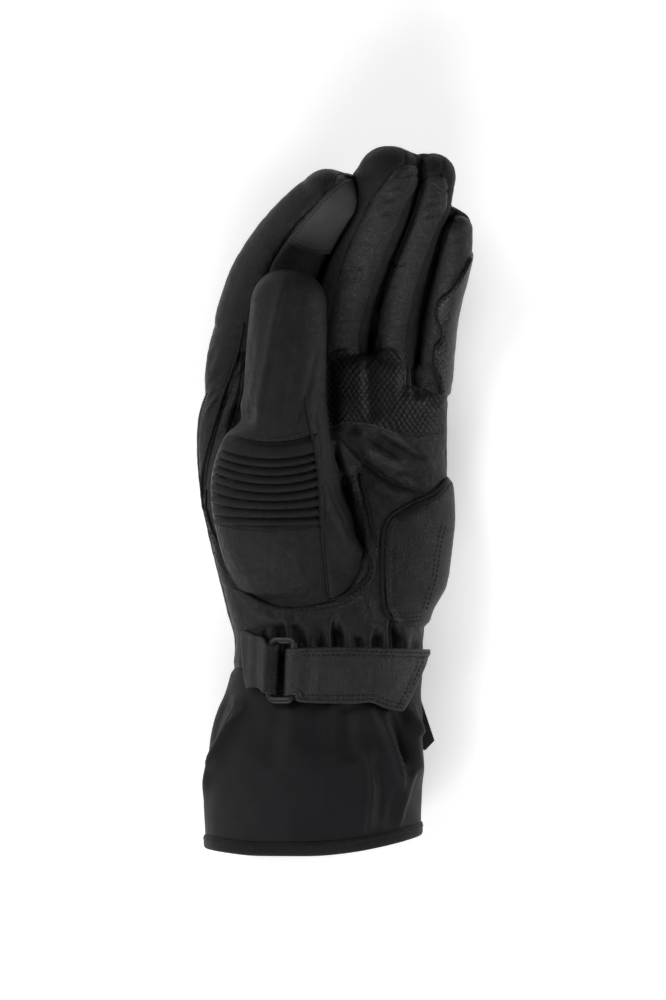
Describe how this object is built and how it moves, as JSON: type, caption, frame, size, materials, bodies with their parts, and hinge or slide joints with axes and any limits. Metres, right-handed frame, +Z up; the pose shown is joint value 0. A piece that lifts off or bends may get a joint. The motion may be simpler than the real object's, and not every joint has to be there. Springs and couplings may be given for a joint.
{
  "type": "motorcycle glove",
  "caption": "Left-hand black leather motorcycle glove with a fabric gauntlet cuff, ribbed thumb panel, grip patch and buckled wrist strap, lying palm up.",
  "frame": {"origin": "on the surface it lies on, under the middle of its bounding box", "axes": "+Y from the cuff to the fingertips, +Z up out of the palm, +X to the little finger's side"},
  "size_m": [0.1256, 0.317, 0.0794],
  "materials": {
    "leather": "satin black leather",
    "back_leather": "satin black leather",
    "stretch": "matte black padded stretch fabric",
    "fabric": "matte black woven shell fabric",
    "binding": "matte black edge tape",
    "grip": "matte black textured grip print on leather",
    "touch": "matte grey smooth conductive leather",
    "plastic": "semi-gloss black moulded plastic",
    "ribbon": "matte black woven ribbon"
  },
  "bodies": {
    "root": {"palm_panel": "leather", "back_panel": "back_leather", "index_finger_front": "leather", "index_finger_back": "back_leather", "middle_finger_front": "leather", "middle_finger_back": "back_leather", "ring_finger_front": "leather", "ring_finger_back": "back_leather", "little_finger_front": "leather", "little_finger_back": "back_leather", "thumb_heel_panel": "leather", "thumb_stretch_panel": "stretch", "thumb_front": "leather", "thumb_back": "back_leather", "thumb_side_panel": "leather", "cuff": "fabric", "cuff_binding": "binding", "grip_patch": "grip", "heel_pad": "leather", "index_touch_pad": "touch", "little_finger_guard": "leather", "index_back_strip": "back_leather", "wrist_strap": "leather", "strap_tab": "leather", "strap_ring": "plastic", "side_label": "ribbon"}
  },
  "joints": []
}
